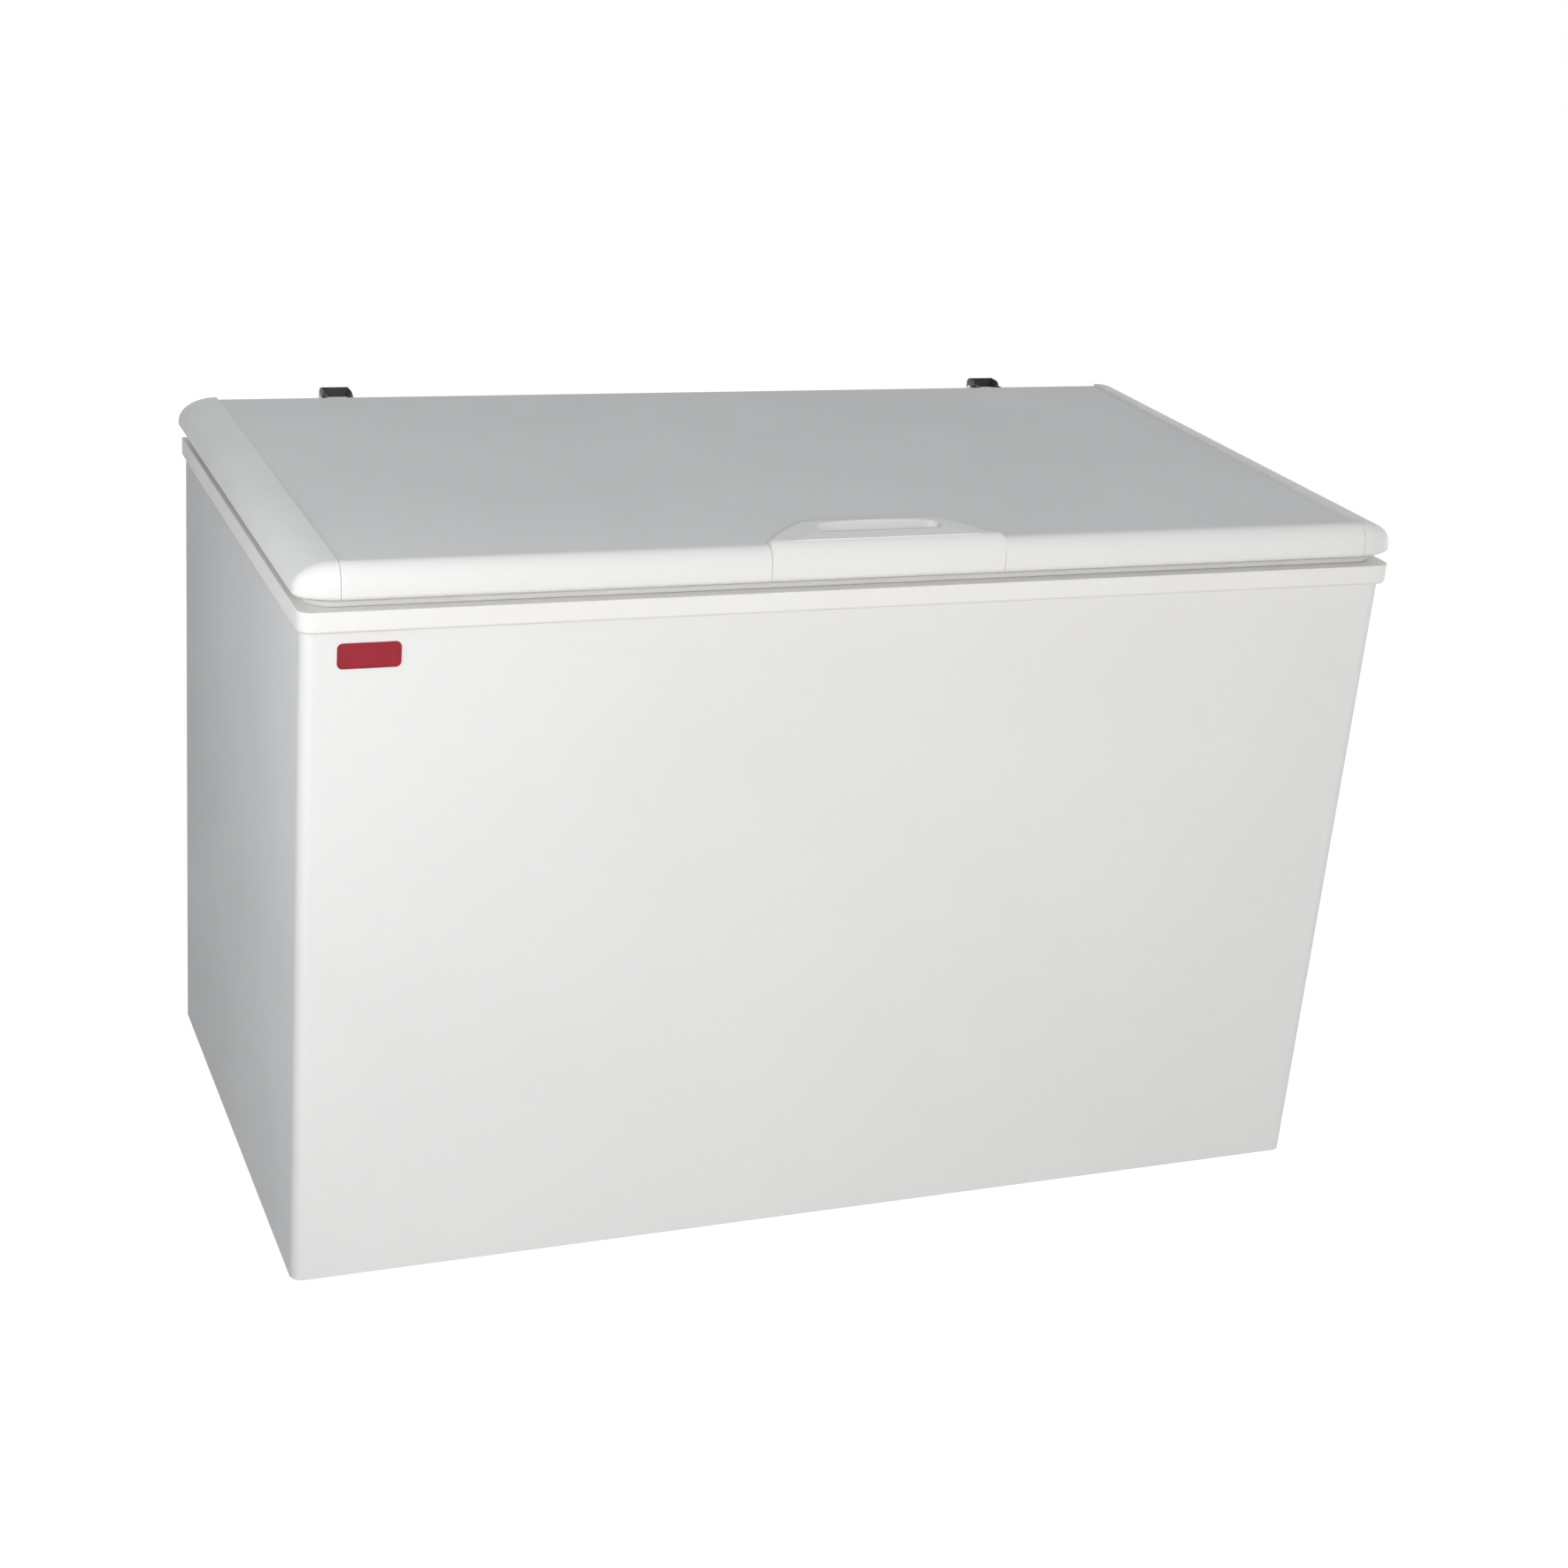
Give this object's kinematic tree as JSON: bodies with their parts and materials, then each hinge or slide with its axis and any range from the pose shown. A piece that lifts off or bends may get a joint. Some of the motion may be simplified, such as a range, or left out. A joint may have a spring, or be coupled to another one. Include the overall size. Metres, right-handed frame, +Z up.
{
  "type": "chest freezer",
  "caption": "White chest freezer with a flat hinged lid, moulded front grip, dark rear hinges, insulated tub with a step, hanging wire basket and a side grille with a thermostat knob.",
  "frame": {"origin": "on the floor, in the middle of the freezer's outline", "axes": "+X to the right along the front, +Y to the back, +Z up; the front faces -Y"},
  "size_m": [1.317, 0.728, 0.8791],
  "materials": {
    "white_paint": "smooth gloss enamel",
    "grey_paint": "smooth enamel",
    "white_moulding": "smooth moulded plastic",
    "frame_moulding": "smooth moulded plastic",
    "seal_rubber": "soft matte seal",
    "zinc_sheet": "galvanised sheet",
    "liner_sheet": "coated embossed sheet",
    "inner_plastic": "vacuum-formed sheet",
    "foam": "rigid foam",
    "copper": "drawn tube",
    "black_paint": "semi-gloss paint",
    "dark_hinge": "dark coated steel",
    "pin_steel": "zinc-plated steel",
    "black_plastic": "moulded plastic",
    "grey_plastic": "moulded plastic",
    "black_rubber": "moulded rubber",
    "coated_wire": "plastic-coated wire"
  },
  "bodies": {
    "cabinet": {"outer_wrapper": "white_paint", "back_panel": "zinc_sheet", "base_pan": "zinc_sheet", "cabinet_foam": "foam", "inner_liner": "liner_sheet", "top_frame": "frame_moulding", "evaporator_tube": "copper", "condenser_tube": "copper", "compressor_tray": "zinc_sheet", "compressor": "black_paint", "compressor_mounts": "black_rubber", "compressor_bolts": "pin_steel", "terminal_cover": "black_plastic", "discharge_tube": "copper", "suction_tube": "copper", "process_tube": "copper", "filter_drier": "copper", "capillary_tube": "copper", "side_grille": "grey_plastic", "thermostat_body": "black_plastic", "rear_cover": "zinc_sheet", "cord_gland": "black_plastic", "drain_tube": "white_moulding", "hinge_cabinet_leaf_left": "dark_hinge", "hinge_cabinet_leaf_right": "dark_hinge", "hinge_pin_left": "pin_steel", "hinge_pin_right": "pin_steel", "foot_front_left": "black_plastic", "foot_front_right": "black_plastic", "foot_rear_left": "black_plastic", "foot_rear_right": "black_plastic"},
    "lid": {"lid_top_panel": "grey_paint", "lid_foam": "foam", "lid_inner_panel": "inner_plastic", "lid_end_cap_left": "white_moulding", "lid_end_cap_right": "white_moulding", "lid_front_profile_left": "white_moulding", "lid_front_profile_right": "white_moulding", "lid_handle": "white_moulding", "lid_gasket": "seal_rubber", "hinge_lid_leaf_left": "dark_hinge", "hinge_lid_leaf_right": "dark_hinge"},
    "knob": {"thermostat_knob": "black_plastic"},
    "plug": {"drain_plug": "black_rubber"},
    "basket": {"basket_rim": "coated_wire", "basket_bottom_ring": "coated_wire", "basket_floor": "coated_wire", "basket_walls": "coated_wire", "basket_bands": "coated_wire"}
  },
  "joints": [
    {"name": "lid_hinge", "type": "hinge", "parent": "cabinet", "child": "lid", "pos_m": [0, 0.351, 0.8535], "axis": [-1, 0, 0], "range_deg": [0, 80]},
    {"name": "knob_turn", "type": "hinge", "parent": "cabinet", "child": "knob", "pos_m": [0.635, 0.185, 0.165], "axis": [1, 0, 0], "range_deg": [0, 270]},
    {"name": "plug_pull", "type": "slide", "parent": "cabinet", "child": "plug", "axis": [0, 0, 1], "range_m": [0, 0.06]},
    {"name": "basket_slide", "type": "slide", "parent": "cabinet", "child": "basket", "axis": [1, 0, 0], "range_m": [-0.896, 0]}
  ]
}
